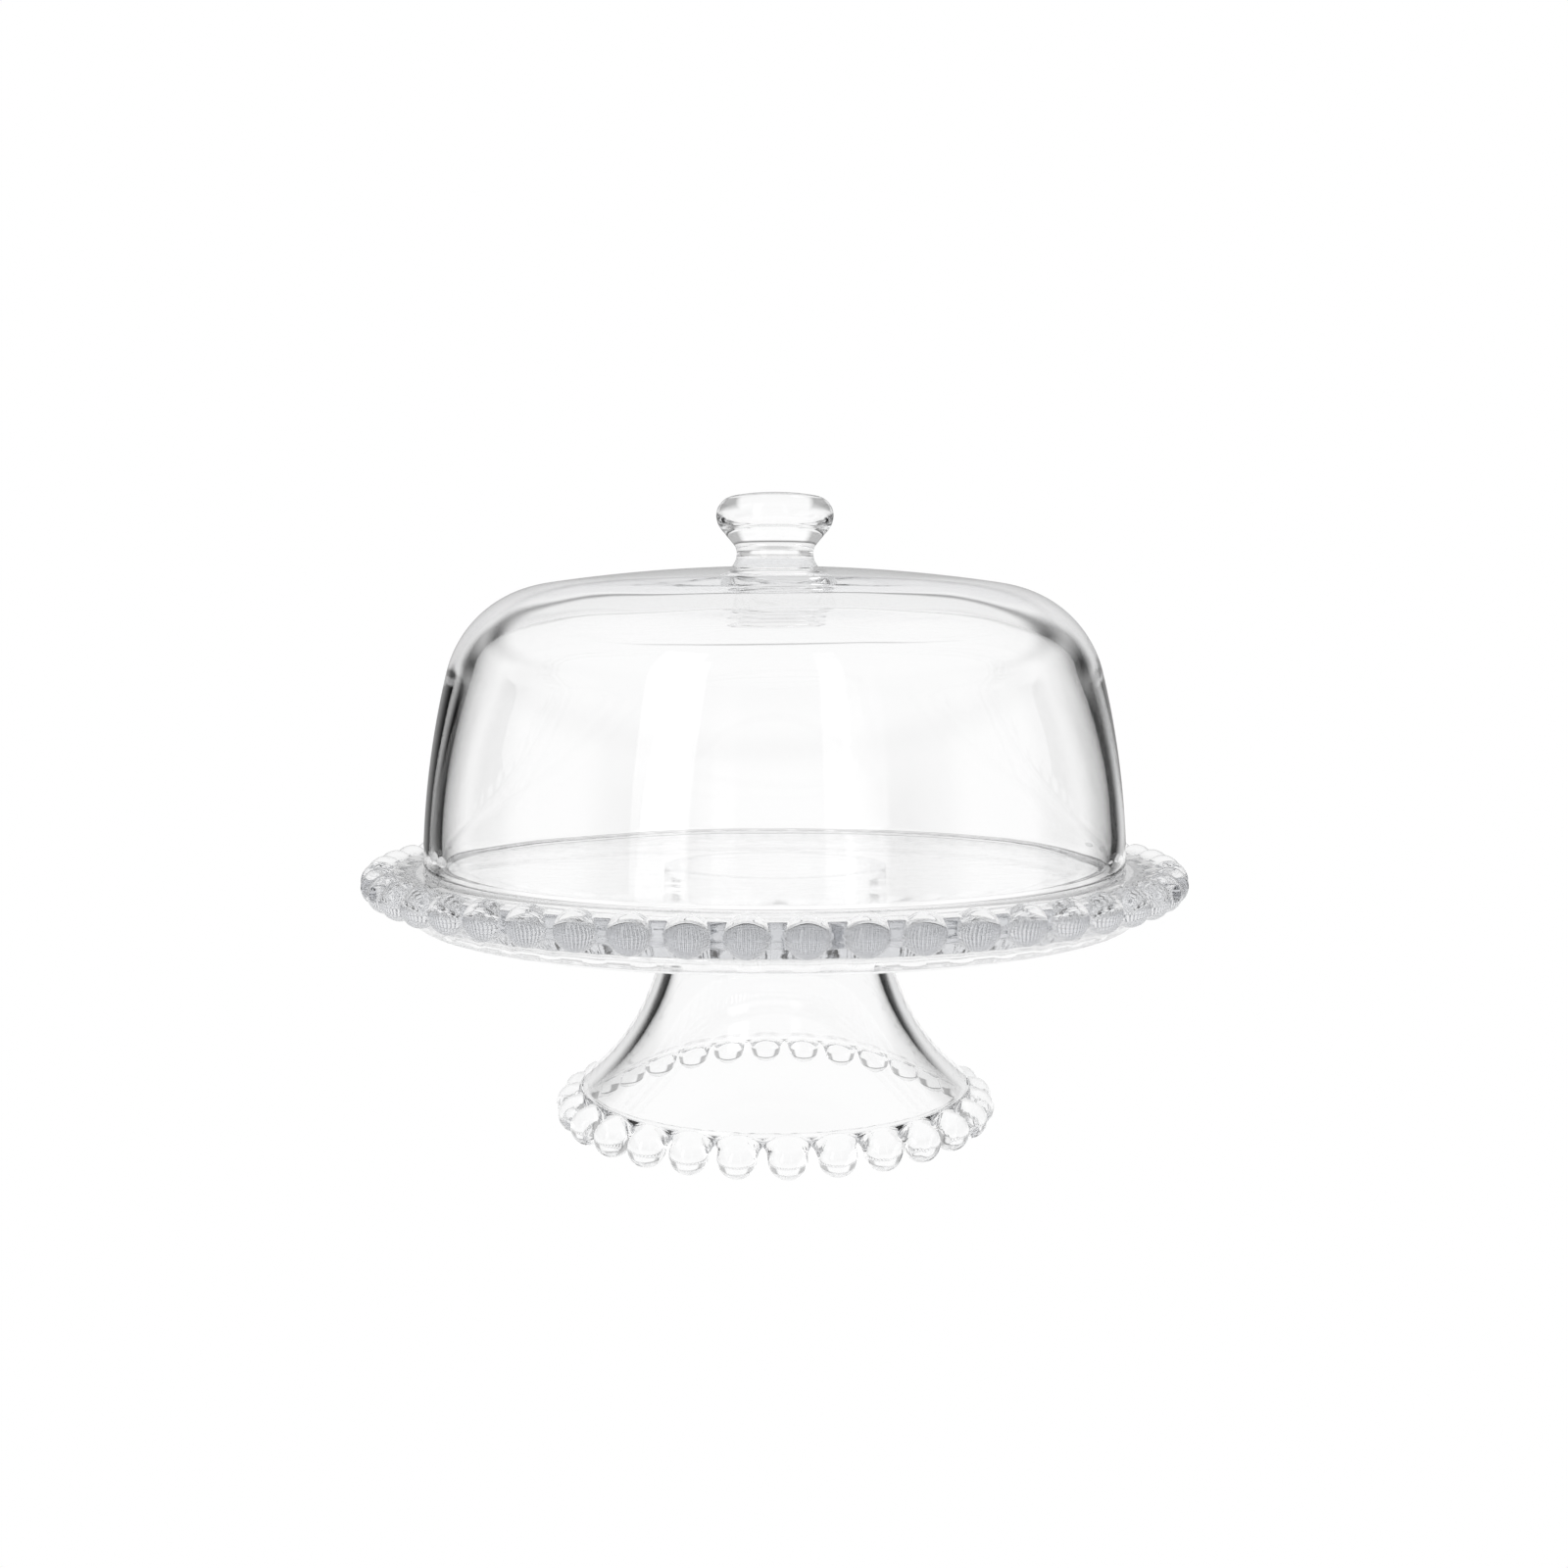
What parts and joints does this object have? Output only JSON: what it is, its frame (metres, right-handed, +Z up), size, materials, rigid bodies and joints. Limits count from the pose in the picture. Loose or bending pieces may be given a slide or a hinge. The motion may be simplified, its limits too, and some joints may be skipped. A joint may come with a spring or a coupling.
{
  "type": "cake stand",
  "caption": "Round clear glass cake stand: flat plate with a beaded edge on a hollow beaded pedestal, under a lift-off glass dome with a knob.",
  "frame": {"origin": "on the table, under the axis of the stand: the middle of the circle of flats under the pedestal's beads", "axes": "+Z up along the axis of the stand and the dome, -Y is the front, the whole object is round about Z"},
  "size_m": [0.2896, 0.2896, 0.2246],
  "materials": {
    "clear_glass": "clear, fire-polished"
  },
  "bodies": {
    "stand": {"plate_disc": "clear_glass", "plate_skirt": "clear_glass", "plate_beads": "clear_glass", "pedestal_shell": "clear_glass", "pedestal_beads": "clear_glass"},
    "dome": {"dome_shell": "clear_glass", "dome_knob": "clear_glass"}
  },
  "joints": [
    {"name": "dome_lift", "type": "slide", "parent": "stand", "child": "dome", "axis": [0, 0, 1], "range_m": [0, 0.12]}
  ]
}
